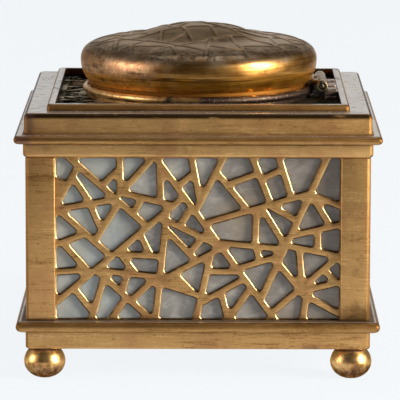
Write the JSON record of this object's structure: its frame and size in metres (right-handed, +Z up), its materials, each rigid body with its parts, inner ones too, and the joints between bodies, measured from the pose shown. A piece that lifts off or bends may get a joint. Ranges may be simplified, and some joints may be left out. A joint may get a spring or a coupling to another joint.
{
  "type": "desk inkstand",
  "caption": "Square gilt-brass desk inkstand with pierced walls over marbled glass, ball feet and a domed lid hinged at the side over a lift-out glass ink cup.",
  "frame": {"origin": "on the desk, under the middle of the square plan", "axes": "+X to the hinge side, the right-hand side seen from the front; +Y from the front to the back; +Z up"},
  "size_m": [0.102, 0.102, 0.0952],
  "materials": {
    "gilt": "gilded brass, brushed, worn at the edges",
    "lid_bronze": "gilded bronze, smooth, brown patina on top",
    "aged_brass": "dull aged brass",
    "dark_brass": "blackened brass",
    "steel": "oiled steel",
    "marbled_glass": "opalescent marbled glass, glossy",
    "clear_glass": "clear pressed glass"
  },
  "bodies": {
    "case": {"base_frame": "gilt", "base_plate": "aged_brass", "foot_1": "gilt", "foot_2": "gilt", "foot_3": "gilt", "foot_4": "gilt", "corner_post_1": "gilt", "corner_post_2": "gilt", "corner_post_3": "gilt", "corner_post_4": "gilt", "lattice_front": "gilt", "lattice_right": "gilt", "lattice_back": "gilt", "lattice_left": "gilt", "pane_front": "marbled_glass", "pane_right": "marbled_glass", "pane_back": "marbled_glass", "pane_left": "marbled_glass", "clip_front_1": "aged_brass", "clip_front_2": "aged_brass", "clip_right_1": "aged_brass", "clip_right_2": "aged_brass", "clip_back_1": "aged_brass", "clip_back_2": "aged_brass", "clip_left_1": "aged_brass", "clip_left_2": "aged_brass", "cornice": "gilt", "rim_moulding": "gilt", "deck_lattice": "gilt", "deck_backing": "dark_brass", "cup_collar": "gilt", "lock_ring": "aged_brass", "fixed_leaf": "aged_brass", "hinge_pin": "steel", "leaf_screw_1": "steel", "leaf_screw_2": "steel"},
    "lid": {"lid_dome": "lid_bronze", "lid_leaf": "aged_brass"},
    "cup": {"ink_cup": "clear_glass"}
  },
  "joints": [
    {"name": "lid_hinge", "type": "hinge", "parent": "case", "child": "lid", "pos_m": [0.0353, 0, 0.0781], "axis": [0, 1, 0], "range_deg": [0, 110]},
    {"name": "cup_lift", "type": "slide", "parent": "case", "child": "cup", "axis": [0, 0, 1], "range_m": [0, 0.01]}
  ]
}
